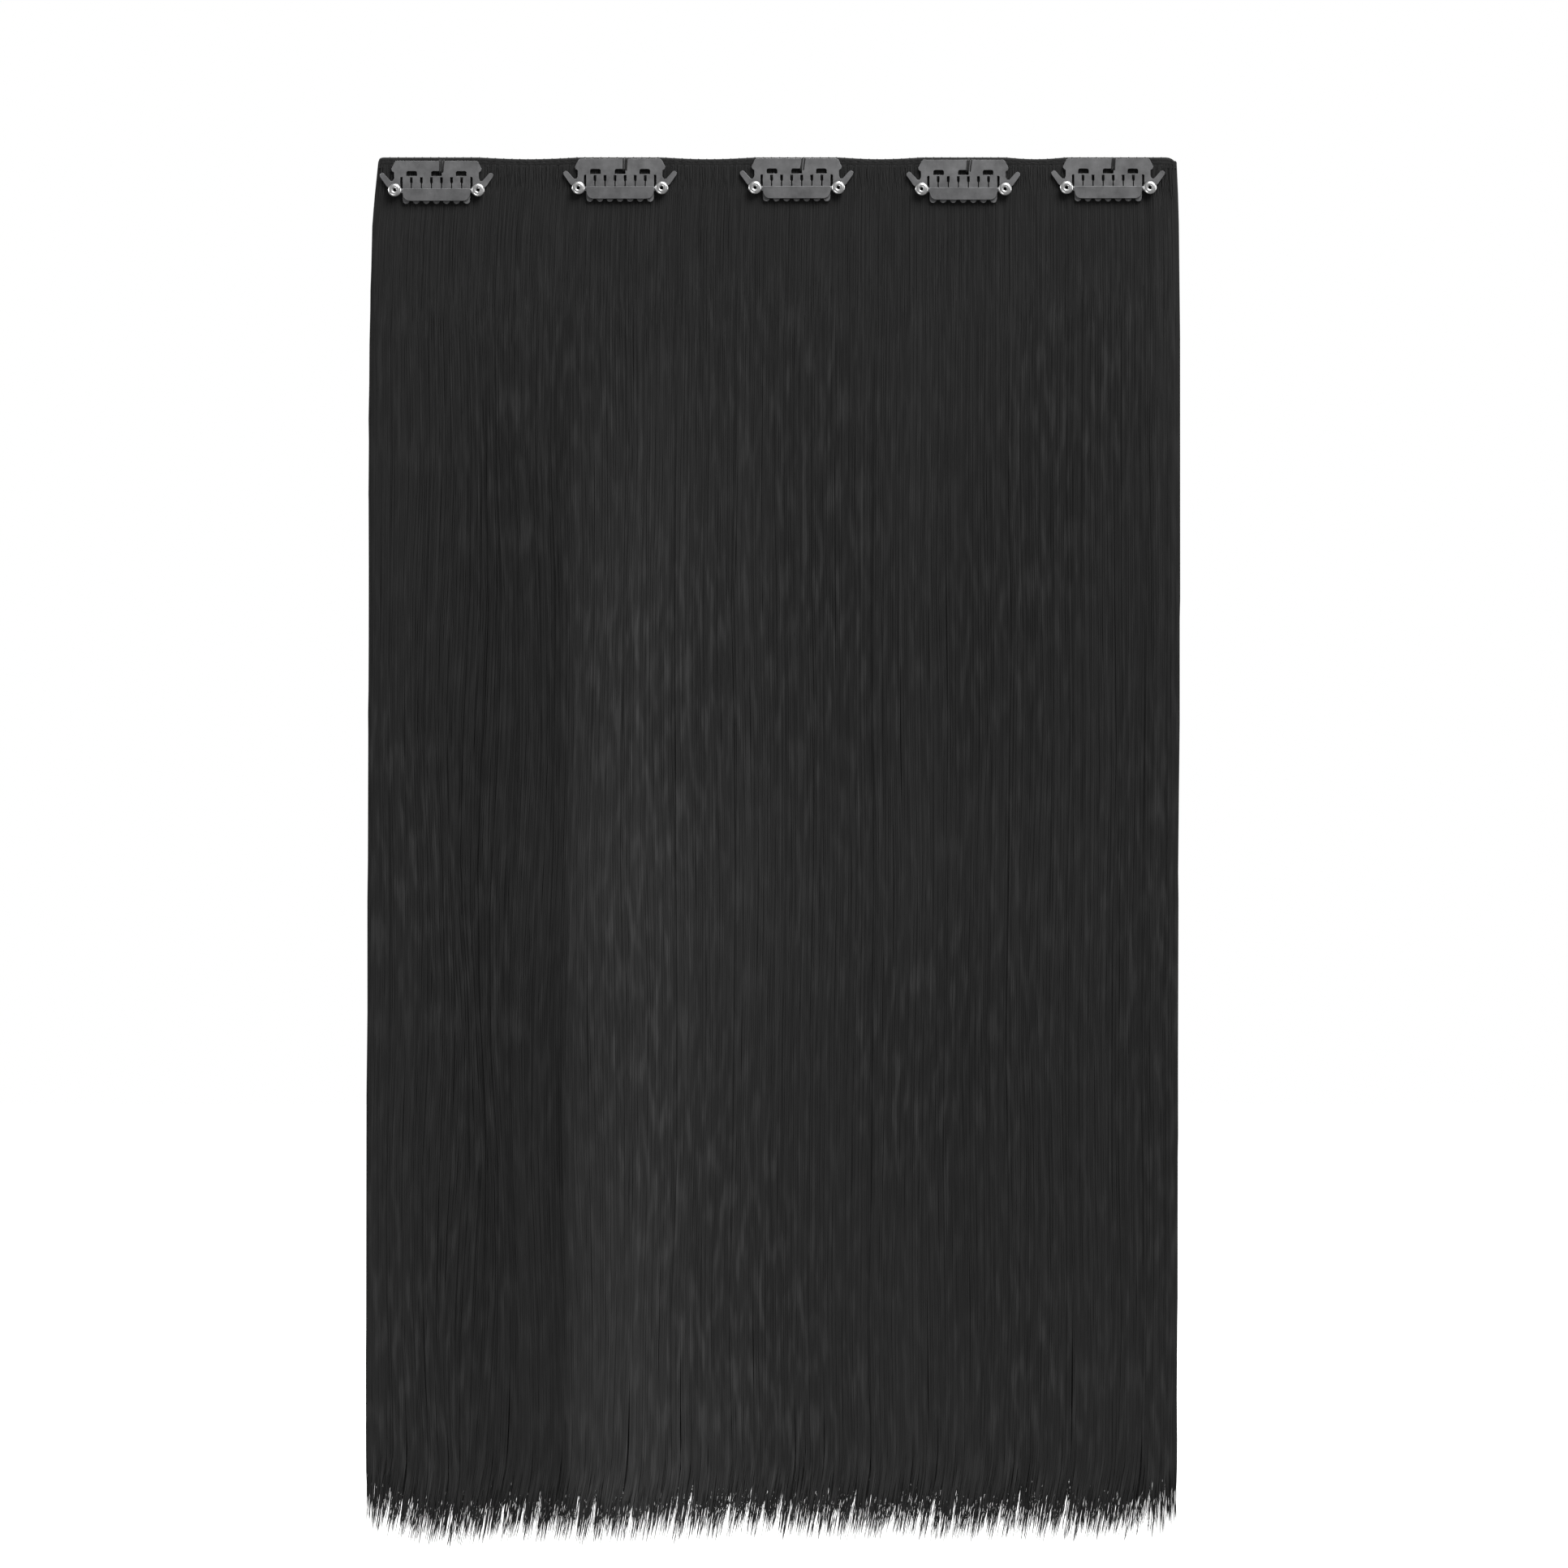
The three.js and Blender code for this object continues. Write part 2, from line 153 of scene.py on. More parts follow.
def spindles(paths, widths, flat, turn, lane, tone):
    """Closed three-sided hairs that run down Z. paths (n, m, 3): the last point is the tip. widths (n, m - 1) are half
    widths, flat (n,) is thickness over width and turn (n,) turns the section. lane (n, m) from 0 to 1 is each point's place
    across the hair and tone (n, m) its lightness. Returns what mesh_object takes."""
    n, m = paths.shape[:2]
    rings = m - 1
    a = turn[:, None] + np.arange(3)[None, :] * (2 * np.pi / 3)
    cx, cy = np.cos(a), np.sin(a) * flat[:, None]
    body = np.repeat(paths[:, :rings, None, :], 3, axis=2)
    body[..., 0] += widths[:, :, None] * cx[:, None, :]
    body[..., 1] += widths[:, :, None] * cy[:, None, :]
    per = rings * 3 + 1
    points = np.concatenate([body.reshape(n, rings * 3, 3), paths[:, -1:, :]], axis=1).reshape(-1, 3)
    base = (np.arange(n) * per)[:, None, None]
    r = np.arange(rings - 1)[:, None] * 3
    k = np.arange(3)[None, :]
    k2 = (k + 1) % 3
    quads = np.stack([r + k, r + 3 + k, r + 3 + k2, r + k2], axis=-1).reshape(1, -1, 4) + base
    last = (rings - 1) * 3
    tips = np.stack([last + k[0], np.full(3, rings * 3), last + k2[0]], axis=-1)[None] + base
    caps = np.array([[[0, 1, 2]]]) + base
    # Each hair has a narrow upright strip of the map, at its place across the hair and as far down as its drop.
    across = 0.004 + 0.992 * lane[:, :rings, None] + np.maximum(widths, 0.12)[:, :, None] * cx[:, None, :] / 230
    down = 1 + paths[:, :rings, 2, None] / 400
    uv = np.stack([across, np.broadcast_to(down, (n, rings, 3))], -1).reshape(n, -1, 2)
    end = np.stack([0.004 + 0.992 * lane[:, -1], 1 + paths[:, -1, 2] / 400], -1)[:, None, :]
    tones = np.concatenate([np.repeat(tone[:, :rings], 3, axis=1), tone[:, -1:]], axis=1)
    # Gently rounded sides: each side's own normal, turned a little towards its neighbours at the corners.
    side = np.stack([cy[:, k2[0]] - cy, cx - cx[:, k2[0]]], -1)
    side = side / np.linalg.norm(side, axis=-1, keepdims=True)
    corner = side + side[:, [2, 0, 1]]
    corner = corner / np.linalg.norm(corner, axis=-1, keepdims=True)
    sides = np.stack([(1 - ROUND) * side + ROUND * corner, (1 - ROUND) * side + ROUND * corner[:, k2[0]], side], axis=2)
    sides = np.concatenate([sides, np.zeros((n, 3, 3, 1))], axis=-1)
    sides = sides / np.linalg.norm(sides, axis=-1, keepdims=True)
    normals = [
        np.broadcast_to(sides[:, None, :, [0, 0, 1, 1]], (n, rings - 1, 3, 4, 3)).reshape(-1, 3),
        sides[:, :, [0, 2, 1]].reshape(-1, 3),
        np.broadcast_to(np.array([0.0, 0.0, 1.0]), (n * 3, 3)),
    ]
    return {
        "points": points,
        "polygons": [quads.reshape(-1, 4), tips.reshape(-1, 3), caps.reshape(-1, 3)],
        "uv": np.concatenate([uv, end], axis=1).reshape(-1, 2),
        "tone": tones.reshape(-1),
        "normals": np.concatenate(normals),
    }


def tube(path, radius, sides=8, ends=True):
    """A closed round tube along a path in millimetres, with rounded-off ends. Returns points and polygons."""
    path = np.asarray(path, float)
    radius = np.broadcast_to(np.asarray(radius, float), (len(path),))
    tangent = np.gradient(path, axis=0)
    tangent /= np.linalg.norm(tangent, axis=1)[:, None]
    up = np.array([0.0, 0.0, 1.0]) if abs(tangent[0][2]) < 0.9 else np.array([1.0, 0.0, 0.0])
    normal = np.cross(tangent[0], up)
    rings = []
    for p, t, r in zip(path, tangent, radius):
        normal = normal - t * np.dot(normal, t)
        normal /= np.linalg.norm(normal)
        side = np.cross(t, normal)
        a = np.arange(sides) * 2 * np.pi / sides
        rings.append(p + r * (np.cos(a)[:, None] * normal + np.sin(a)[:, None] * side))
    points = np.concatenate(rings + [[path[0] - tangent[0] * radius[0] * 0.5], [path[-1] + tangent[-1] * radius[-1] * 0.5]])
    m, k = len(path), np.arange(sides)
    k2 = (k + 1) % sides
    quads = np.concatenate([np.stack([i * sides + k, i * sides + k2, (i + 1) * sides + k2, (i + 1) * sides + k], -1) for i in range(m - 1)])
    first, final = m * sides, m * sides + 1
    caps = np.concatenate([
        np.stack([np.full(sides, first), k2, k], -1),
        np.stack([np.full(sides, final), (m - 1) * sides + k, (m - 1) * sides + k2], -1),
    ])
    return points, [quads, caps]


def joined(parts):
    """Several (points, polygons) as one."""
    points, polygons, n = [], [], 0
    for p, faces in parts:
        points.append(p)
        polygons += [f + n for f in faces]
        n += len(p)
    return np.concatenate(points), polygons


# ---- materials -------------------------------------------------------------------------------------------------
def new_material(name):
    m = bpy.data.materials.new(name)
    m.use_nodes = True
    nodes, links = m.node_tree.nodes, m.node_tree.links
    return m, nodes, links, nodes["Principled BSDF"]


def streaks(nodes, links, scale, seed):
    """Noise drawn out along the hair: scale is the texture's scale across and along it."""
    at = nodes.new("ShaderNodeTexCoord")
    move = nodes.new("ShaderNodeMapping")
    move.inputs["Location"].default_value = (seed, seed * 0.37, seed * 0.11)
    move.inputs["Scale"].default_value = scale
    noise = nodes.new("ShaderNodeTexNoise")
    noise.inputs["Scale"].default_value = 1.0
    noise.inputs["Detail"].default_value = 3.0
    noise.inputs["Roughness"].default_value = 0.6
    links.new(at.outputs["Object"], move.inputs["Vector"])
    links.new(move.outputs["Vector"], noise.inputs["Vector"])
    return noise


def ramp(nodes, links, source, stops):
    r = nodes.new("ShaderNodeValToRGB")
    while len(r.color_ramp.elements) < len(stops):
        r.color_ramp.elements.new(0.5)
    for e, (at, colour) in zip(r.color_ramp.elements, stops):
        e.position = at
        e.color = (*colour, 1) if len(colour) == 3 else colour
    links.new(source, r.inputs["Fac"])
    return r


def strand_material(name, stops, roughness, specular, seed):
    """Hair whose streaks follow its waves: broad ones, painted highlights, a lock wide, and fine ones a few hairs wide.
    """
    m, nodes, links, bsdf = new_material(name)
    at = nodes.new("ShaderNodeUVMap")
    at.uv_map = "OFBake"

    def noise(scale, shift, detail):
        move = nodes.new("ShaderNodeMapping")
        move.inputs["Location"].default_value = (shift, shift * 0.37, seed)
        move.inputs["Scale"].default_value = scale
        n = nodes.new("ShaderNodeTexNoise")
        n.inputs["Scale"].default_value = 1.0
        n.inputs["Detail"].default_value = detail
        n.inputs["Roughness"].default_value = 0.5
        links.new(at.outputs["UV"], move.inputs["Vector"])
        links.new(move.outputs["Vector"], n.inputs["Vector"])
        return n.outputs["Fac"]

    def mixed(a, b, share):
        """a + share * b"""
        s = nodes.new("ShaderNodeMath")
        s.operation = "MULTIPLY_ADD"
        links.new(b, s.inputs[0])
        s.inputs[1].default_value = share
        links.new(a, s.inputs[2])
        return s.outputs["Value"]

    # Slim painted highlights where the broad noise is high, and a finer grain of single hairs.
    painted_gleam = nodes.new("ShaderNodeMapRange")
    painted_gleam.interpolation_type = "SMOOTHSTEP"
    painted_gleam.inputs["From Min"].default_value = 0.42
    painted_gleam.inputs["From Max"].default_value = 0.74
    links.new(noise((142, 32, 1), seed * 3.1, 0.6), painted_gleam.inputs["Value"])
    streak = mixed(painted_gleam.outputs["Result"], noise((280, 56, 1), seed * 5.7, 1.0), 0.7)
    # The streaks start weak under the clips and are full about 60 mm down.
    place = nodes.new("ShaderNodeSeparateXYZ")
    links.new(at.outputs["UV"], place.inputs["Vector"])
    fade = nodes.new("ShaderNodeMapRange")
    fade.inputs["From Min"].default_value = 0.97
    fade.inputs["From Max"].default_value = 0.84
    fade.inputs["To Min"].default_value = 0.18
    fade.inputs["To Max"].default_value = 1.0
    links.new(place.outputs["Y"], fade.inputs["Value"])
    # They come in patches about 40 mm wide and 100 mm long.
    patch = nodes.new("ShaderNodeMapRange")
    patch.inputs["From Min"].default_value = 0.36
    patch.inputs["From Max"].default_value = 0.64
    patch.inputs["To Min"].default_value = 0.55
    patch.inputs["To Max"].default_value = 1.15
    links.new(noise((6, 4, 1), seed * 7.3, 0.0), patch.inputs["Value"])
    middle = nodes.new("ShaderNodeMath")
    middle.operation = "SUBTRACT"
    links.new(streak, middle.inputs[0])
    middle.inputs[1].default_value = 0.68
    faded = nodes.new("ShaderNodeMath")
    faded.operation = "MULTIPLY"
    links.new(middle.outputs["Value"], faded.inputs[0])
    links.new(fade.outputs["Result"], faded.inputs[1])
    patched = nodes.new("ShaderNodeMath")
    patched.operation = "MULTIPLY"
    links.new(faded.outputs["Value"], patched.inputs[0])
    links.new(patch.outputs["Result"], patched.inputs[1])
    tone = nodes.new("ShaderNodeAttribute")
    tone.attribute_name = "tone"
    value = mixed(tone.outputs["Fac"], patched.outputs["Value"], 0.13)
    colour = ramp(nodes, links, value, stops)
    links.new(colour.outputs["Color"], bsdf.inputs["Base Color"])
    bsdf.inputs["Roughness"].default_value = roughness
    bsdf.inputs["Specular IOR Level"].default_value = specular
    return m


def fibre_material(name, dark, light, roughness, specular, seed):
    m, nodes, links, bsdf = new_material(name)
    fine = streaks(nodes, links, (1500, 1500, 300), seed)
    colour = ramp(nodes, links, fine.outputs["Fac"], [(0.3, (dark,) * 3), (0.7, (light,) * 3)])
    links.new(colour.outputs["Color"], bsdf.inputs["Base Color"])
    bsdf.inputs["Roughness"].default_value = roughness
    bsdf.inputs["Specular IOR Level"].default_value = specular
    return m


def metal_material(name, dark, light, roughness, metallic, scale, bump):
    m, nodes, links, bsdf = new_material(name)
    cloud = streaks(nodes, links, (scale, scale, scale), 3.0)
    colour = ramp(nodes, links, cloud.outputs["Fac"], [(0.3, dark), (0.72, light)])
    links.new(colour.outputs["Color"], bsdf.inputs["Base Color"])
    grain = streaks(nodes, links, (scale * 9, scale * 9, scale * 2), 8.0)
    rough = ramp(nodes, links, grain.outputs["Fac"], [(0.25, (roughness - 0.07,) * 3), (0.75, (roughness + 0.09,) * 3)])
    links.new(rough.outputs["Color"], bsdf.inputs["Roughness"])
    b = nodes.new("ShaderNodeBump")
    b.inputs["Strength"].default_value = bump
    b.inputs["Distance"].default_value = 0.00003
    links.new(grain.outputs["Fac"], b.inputs["Height"])
    links.new(b.outputs["Normal"], bsdf.inputs["Normal"])
    bsdf.inputs["Metallic"].default_value = metallic
    return m


GREYS = [(0.25, (0.0038,) * 3), (0.44, (0.0086,) * 3), (0.58, (0.0154,) * 3), (0.7, (0.0256,) * 3), (0.85, (0.045,) * 3)]
HAIR = strand_material("hair_fibre", GREYS, 0.45, 0.09, 1.0)
HAIR_BACK = strand_material("hair_fibre_back", GREYS, 0.45, 0.09, 5.0)
CORE = fibre_material("hair_inner", 0.0085, 0.013, 0.6, 0.07, 9.0)
SEAM = fibre_material("seam_fibre", 0.005, 0.0115, 0.65, 0.13, 12.0)
THREAD = fibre_material("sewing_thread", 0.008, 0.018, 0.6, 0.2, 15.0)
STEEL = metal_material("clip_satin_steel", (0.1, 0.1, 0.102), (0.158, 0.158, 0.161), 0.5, 0.9, 260.0, 0.25)
BOW_STEEL = metal_material("clip_bow_steel", (0.092, 0.092, 0.094), (0.145, 0.145, 0.148), 0.47, 0.9, 240.0, 0.25)
RIVET = metal_material("rivet_bright_steel", (0.36, 0.36, 0.36), (0.50, 0.50, 0.50), 0.34, 1.0, 500.0, 0.2)


# ---- hair: an inner mass and the strands that hang over it ----------------------------------------------------
def hair_mass():
    """The dense inside of the curtain, which stops short of the tips."""
    columns, drops = 160, np.array([1.0, 3.5, 9, 14, 24, 48, 80, 110, 150, 180, 215, 250, 285, 315, 335, 352, 364, 373])
    rng = np.random.default_rng(11)
    ragged = np.convolve(rng.normal(0, 1, columns + 41), np.hanning(7) / np.hanning(7).sum(), "same")[20:columns + 21]
    u = np.sin(np.linspace(-1, 1, columns + 1) * np.pi / 2 * 0.9) / math.sin(np.pi / 2 * 0.9) * 0.997
    rings = []
    for i, d in enumerate(drops):
        left, right = row(d, 1), row(d, 2)
        x = (left + right) / 2 + u * (right - left) / 2
        share = 0.83 * (1 - 0.78 * smoothstep(d, 330, 374))
        z = np.full_like(x, -d)
        if i >= len(drops) - 3:
            z = z - ragged * (1.5, 2.5, 3.5)[i - len(drops) + 3]
        front = np.stack([x, -depth(x, u, d, True) * share, z], -1)
        back = np.stack([x, depth(x, u, d, False) * share, z], -1)[1:-1][::-1]
        rings.append(np.concatenate([front, back]))
    n = len(rings[0])
    points = np.concatenate(rings)
    k = np.arange(n)
    k2 = (k + 1) % n
    quads = np.concatenate([np.stack([i * n + k, (i + 1) * n + k, (i + 1) * n + k2, i * n + k2], -1) for i in range(len(rings) - 1)])
    half = n // 2

    def cap(base, flip):
        tris = []
        for i in range(half):
            a, b, c, d = i, i + 1, (n - i - 1) % n, (n - i) % n
            if b != c:
                tris.append((a, b, c))
            if i > 0:
                tris.append((a, c, d))
        t = np.array(tris) + base
        return t[:, ::-1] if flip else t

    return points, [quads, cap(0, False), cap((len(rings) - 1) * n, True)]


def clumps(count, seed):
    """Locks across the width: where each is, and how it waves, lies, ends and shines."""
    rng = np.random.default_rng(seed)
    at = np.linspace(-1, 1, count) + rng.uniform(-0.4, 0.4, count) * 2 / count
    return {
        "u": np.sort(at),
        "phase": rng.uniform(0, 2 * np.pi, count),
        "wave": rng.uniform(70, 130, count),
        "swing": rng.uniform(0.08, 0.34, count),
        "pull": rng.uniform(0.0, 0.2, count),
        "length": rng.normal(0, 0.9, count),
        "depth": rng.normal(0, 0.05, count),
        "tone": rng.normal(0, 0.009, count),
    }


def sway(x, u, drop, turn):
    """Sideways wave of the hair at x, alike in neighbours: turn sets one face's wave apart from the other's."""
    phase = 2.2 * np.sin(2.3 * u + 0.6 + turn) + 1.1 * np.sin(6.1 * u + 1.9) + 0.5 * np.sin(14 * u + 0.3 + turn)
    wave = 190 + 35 * np.sin(3.1 * u + 2) + 15 * np.sin(9 * u)
    return np.interp(x, SWAY[:, 0], SWAY[:, 1]) * np.sin(2 * np.pi * drop / wave + phase)


def notched(x, drop, share):
    """x once the hair has parted at the notches between the tips."""
    for at, tall in NOTCHES:
        s = x - (at + 1.2)
        w = 0.95 * smoothstep(drop, 388.5 - tall, 394.0 - tall) * share
        x = x + np.where(s < 0, -1, 1) * w * np.exp(-np.abs(s) / 2.2)
    return x


def leaned(x, drop, longest):
    """x once the ends have swung a little to the left."""
    below = np.maximum(drop - (longest - 22), 0)
    edges = smoothstep(x, row(drop, 1) - 1, row(drop, 1) + 8) * smoothstep(-x, -row(drop, 2), 14 - row(drop, 2))
    return x - 0.2 * below ** 2 / (below + 6) * edges


def painted_light_by_drop(drop):
    """Lightness of the hair at a drop: more towards the ends, partly painted light that evens out the lamps' fall-off
    down the hair, with a faint painted sheen half way down and painted light at the very ends against the shade the
    thin hairs cast on each other.
    """
    # painted light rising down the hair against the lamps' fall-off, and a painted sheen band about 207 mm down
    down = 0.522 + 0.058 * drop / 380 + 0.03 * np.exp(-(((drop - 207) / 22) ** 2))
    # from 370 mm, painted light against the shade the thin ends cast on each other
    return down + 0.025 * smoothstep(drop, 300, 355) + 0.1 * smoothstep(drop, 370, 382)


def curtain(count, front, layer, half_width, stops, seed, locks):
    """Hairs of one face: layer is the range of depth they lie at, as a share of the face's own."""
    rng = np.random.default_rng(seed)
    u0 = (np.arange(count) + rng.uniform(0, 1, count)) / count * 2 - 1
    rng.shuffle(u0)
    which = np.abs(u0[:, None] - locks["u"][None, :]).argmin(1)
    centre = locks["u"][which]
    share = rng.uniform(*layer, count)
    x_end = np.interp(u0, [-1, 1], [-115, 114.6])
    longest = np.interp(x_end, TIPS[:, 0], TIPS[:, 1])
    total = np.minimum(longest - 12.5 + locks["length"][which] + rng.normal(0, 3.6, count), longest - 1.0)
    short = rng.uniform(size=count) < 0.05
    total = np.where(short, total - rng.uniform(8, 70, count), total)
    stops = np.array(stops, float)
    gap = np.gradient(stops)
    drop = stops[None, :] + rng.uniform(-0.32, 0.32, (count, len(stops))) * gap[None, :]
    drop[:, 0] = 1.0 + rng.uniform(0, 0.8, count)
    reach = total[:, None] - np.array([17.0, 9.5, 4.0, 0.0])[None, :] * rng.uniform(0.85, 1.15, (count, 1))
    drop = np.concatenate([np.minimum(drop, reach[:, :1] - (len(stops) - np.arange(len(stops)))[None, :] * 1.5), reach], axis=1)
    t = np.clip(drop / 385, 0, 1.05)
    left, right = row(drop, 1), row(drop, 2)
    gather = locks["pull"][which][:, None] * (0.5 * smoothstep(t, 0.05, 0.5) + 0.5 * smoothstep(t, 0.9, 1.0))
    u = centre[:, None] + (u0 - centre)[:, None] * (1 - gather)
    x = (left + right) / 2 + u * (right - left) / 2
    grown = smoothstep(drop, 14, 120)
    waved = grown * sway(x, u, drop, 0.0 if front else 2.0)
    x = x + waved
    x = x + grown * locks["swing"][which][:, None] * np.sin(2 * np.pi * drop / locks["wave"][which][:, None] + locks["phase"][which][:, None])
    own = rng.uniform(0, 2 * np.pi, (count, 1))
    x = x + grown * rng.uniform(0.0, 0.28, (count, 1)) * np.sin(2 * np.pi * drop / rng.uniform(70, 150, (count, 1)) + own)
    lane = np.clip((x - waved - left) / (right - left), 0, 1)
    x = np.clip(x, left - 0.1, right + 0.1)
    x = leaned(notched(x, drop, rng.uniform(0.6, 1.05, (count, 1))), drop, longest[:, None])
    x = np.clip(x, left - 0.2, right + 0.2)
    un = np.clip((x - (left + right) / 2) / ((right - left) / 2), -1, 1)
    y = depth(x, un, drop, front) * share[:, None] * (1 + grown * locks["depth"][which][:, None])
    y = y + grown * rng.normal(0, 0.05, (count, 1))
    y = np.minimum(y, np.where(drop < 16, 1.3, 9.0))
    paths = np.stack([x, -y if front else y, -drop], -1)
    widths = half_width * rng.uniform(0.7, 1.3, (count, 1)) * np.ones((1, drop.shape[1] - 1))
    widths[:, -1] *= 0.5
    widths[:, -2] *= 0.8
    widths[:, 0] *= 0.8
    # Painted light: the locks' painted sheen and crease shade, on top of the painted light down the hair.
    painted_sheen = PAINTED_SHEEN_AND_CREASE_SHADE if front else BACK_PAINTED_SHEEN
    tone = painted_light_by_drop(drop) + np.interp(x, painted_sheen[:, 0], painted_sheen[:, 1]) * smoothstep(drop, 30, 130)
    tone = tone + locks["tone"][which][:, None] + rng.normal(0, 0.005, (count, 1))
    # each hair's flat side faces out
    turn = rng.uniform(-0.25, 0.25, count) + (np.pi / 2 if front else -np.pi / 2)
    return spindles(paths, widths, rng.uniform(0.3, 0.5, count), turn, lane, tone)


def fine_ends(count, seed):
    """The thin ends of the longest hairs, which soften the lower edge."""
    rng = np.random.default_rng(seed)
    u0 = (np.arange(count) + rng.uniform(0, 1, count)) / count * 2 - 1
    x_end = np.interp(u0, [-1, 1], [-115, 114.6])
    longest = np.interp(x_end, TIPS[:, 0], TIPS[:, 1])
    # share of the hairs, how far from the longest tips they end
    ends = np.array([[0, -12], [0.2, -9.5], [0.3, -7.6], [0.4, -6.0], [0.5, -4.2], [0.6, -2.8], [0.7, -1.4], [0.8, 0.1], [0.9, 2.0], [0.95, 3.2], [0.98, 4.1], [1, 4.8]])
    total = longest + np.interp(rng.uniform(size=count), ends[:, 0], ends[:, 1])
    start = total - rng.uniform(18, 26, count)
    drop = start[:, None] + (total - start)[:, None] * np.array([0.0, 0.85, 1.0])[None, :]
    left, right = row(drop, 1), row(drop, 2)
    x = (left + right) / 2 + u0[:, None] * (right - left) / 2
    x = x + rng.normal(0, 0.35, (count, 1)) * smoothstep(drop, start[:, None], total[:, None])
    x = np.clip(x, left, right)
    parts = np.where(rng.uniform(size=(count, 1)) < 0.42, 0.0, rng.uniform(0.35, 1.05, (count, 1)))
    x = leaned(notched(x, drop, parts), drop, longest[:, None])
    x = np.clip(x, left - 0.3, right + 0.3)
    un = np.clip((x - (left + right) / 2) / ((right - left) / 2), -1, 1)
    face = np.where(rng.uniform(size=(count, 1)) < 0.5, -1.0, 1.0)
    y = face * depth(x, un, drop, True) * rng.uniform(0.0, 0.9, (count, 1))
    paths = np.stack([x, y, -drop], -1)
    widths = 0.05 * rng.uniform(0.7, 1.3, (count, 1)) * np.array([[0.8, 1.0]])
    # Painted light: the painted light down the hair and the locks' painted sheen and crease shade.
    tone = painted_light_by_drop(drop) + np.interp(x, PAINTED_SHEEN_AND_CREASE_SHADE[:, 0], PAINTED_SHEEN_AND_CREASE_SHADE[:, 1]) + rng.normal(0, 0.015, (count, 1))
    lane = np.broadcast_to((u0[:, None] + 1) / 2, x.shape)
    return spindles(paths, widths, rng.uniform(0.6, 0.9, count), rng.uniform(0, 2, count), lane, tone)


def return_hairs(count, seed):
    """Short hair that the seam folds back over the front, which ends just below the clips."""
    rng = np.random.default_rng(seed)
    x0 = (np.arange(count) + rng.uniform(0, 1, count)) / count * (BAND_RIGHT - BAND_LEFT - 1) + BAND_LEFT + 0.5
    length = 13.2 - rng.gamma(2.0, 1.3, count)
    f = np.array([0.0, 0.3, 0.62, 0.86, 1.0])
    drop = 2.0 + (length[:, None] - 2.0) * f[None, :]
    x = x0[:, None] + rng.normal(0, 0.55, (count, 1)) * f[None, :] ** 1.5
    x = np.clip(x, BAND_LEFT + 0.2, BAND_RIGHT - 0.2)
    y = -1.0 - 0.28 * np.sin(np.pi * np.clip(f, 0, 0.9))[None, :] * rng.uniform(0.5, 1.1, (count, 1)) - 0.12
    y = np.broadcast_to(y, x.shape)
    paths = np.stack([x, y, -drop], -1)
    widths = 0.13 * rng.uniform(0.7, 1.3, (count, 1)) * np.array([[1.0, 1.0, 0.9, 0.6]])
    tone = np.broadcast_to(rng.normal(0.575, 0.012, (count, 1)), x.shape)
    lane = (x - BAND_LEFT) / (BAND_RIGHT - BAND_LEFT)
    return spindles(paths, widths, rng.uniform(0.5, 0.8, count), np.full(count, np.pi / 2), lane, tone)


mass = mesh_object("hair_mass", *hair_mass(), CORE, slot="hair")
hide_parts("hair_curtain")
front_locks, back_locks = clumps(104, 21), clumps(96, 22)
COARSE = [1.0, 9, 18, 60, 115, 170, 225, 280, 335]
FINE = [1.0, 9, 18, 45, 85, 125, 165, 205, 245, 285, 325]
for name, count, front, layer, half, stops, seed, locks, material in [
    ("hair_front_under", 2280, True, (0.84, 0.94), 0.2, COARSE, 31, front_locks, HAIR),
    ("hair_front_over", 2300, True, (0.92, 1.0), 0.185, FINE, 32, front_locks, HAIR),
    ("hair_back_under", 2280, False, (0.84, 0.94), 0.2, COARSE, 33, back_locks, HAIR_BACK),
    ("hair_back_over", 2300, False, (0.92, 1.0), 0.185, FINE, 34, back_locks, HAIR_BACK),
]:
    mesh_object(name, **curtain(count, front, layer, half, stops, seed, locks), material=material, slot="hair")
mesh_object("hair_fine_ends", **fine_ends(16000, 36), material=HAIR, slot="hair")
mesh_object("seam_return_hair", **return_hairs(900, 41), material=HAIR, slot="hair")


# ---- sewn band ---------------------------------------------------------------------------------------------------
def band_top(x):
    """Height of the band's top edge: it sags a little between the clips and turns down at its ends."""
    x = np.asarray(x, float)
    z = np.zeros_like(x)
    for (xa, _), (xb, _) in zip(CLIPS[:-1], CLIPS[1:]):
        a, b = xa + BAR_HALF, xb - BAR_HALF
        t = np.clip((x - a) / (b - a), 0, 1)
        z = z - BAND_DIP * np.sin(np.pi * t)
    z = z - 2.6 * (1 - np.sqrt(np.clip(1 - np.clip((x - (BAND_RIGHT - 3.0)) / 3.0, 0, 1) ** 2, 0, 1)))
    return z - 0.9 * (1 - np.sqrt(np.clip(1 - np.clip(((BAND_LEFT + 1.2) - x) / 1.2, 0, 1) ** 2, 0, 1)))


